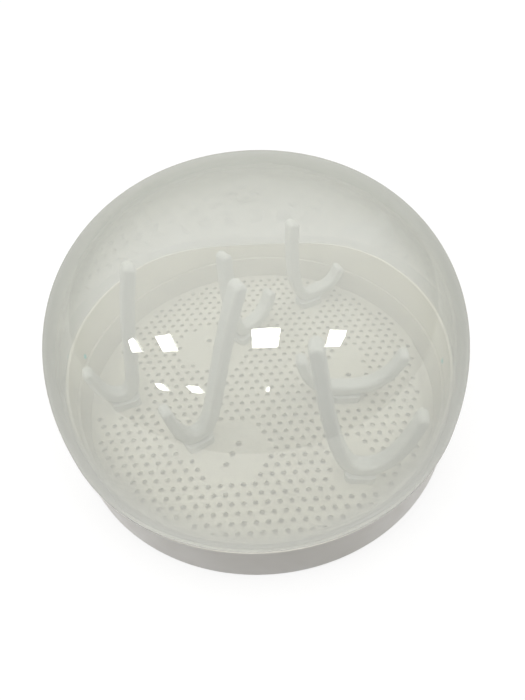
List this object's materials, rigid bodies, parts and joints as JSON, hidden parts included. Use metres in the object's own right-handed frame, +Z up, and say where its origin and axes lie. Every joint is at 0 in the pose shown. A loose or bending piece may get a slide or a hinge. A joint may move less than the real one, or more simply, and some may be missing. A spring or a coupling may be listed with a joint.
{
  "type": "microwave bottle sterilizer",
  "caption": "Low round water bowl with a perforated tray, leaning bottle holders and a clear dome lid that lifts off, for steam sterilizing in a microwave.",
  "frame": {"origin": "middle of the base's underside, on the surface it stands on", "axes": "+Z up along the axis of the round bowl and dome, -Y towards the front, +X to the right seen from the front"},
  "size_m": [0.28, 0.28, 0.1767],
  "materials": {
    "base": "satin",
    "tray": "satin",
    "holder": "satin",
    "stud": "satin",
    "lid": "clear glossy"
  },
  "bodies": {
    "base": {"base": "base"},
    "tray": {"tray_floor": "tray", "tray_wall": "tray", "stud_left": "stud", "stud_right": "stud", "holder_front_right": "holder", "holder_front_left": "holder", "holder_back_right": "holder", "holder_left": "holder", "holder_right": "holder", "holder_back": "holder"},
    "lid": {"lid": "lid"}
  },
  "joints": [
    {"name": "lid_lift", "type": "slide", "parent": "base", "child": "lid", "axis": [0, 0, 1], "range_m": [0, 0.2]},
    {"name": "tray_lift", "type": "slide", "parent": "base", "child": "tray", "axis": [0, 0, 1], "range_m": [0, 0.08]}
  ],
  "couplings": [
    {"joint": "tray_lift", "follows": "lid_lift", "ratio": 0.4}
  ]
}
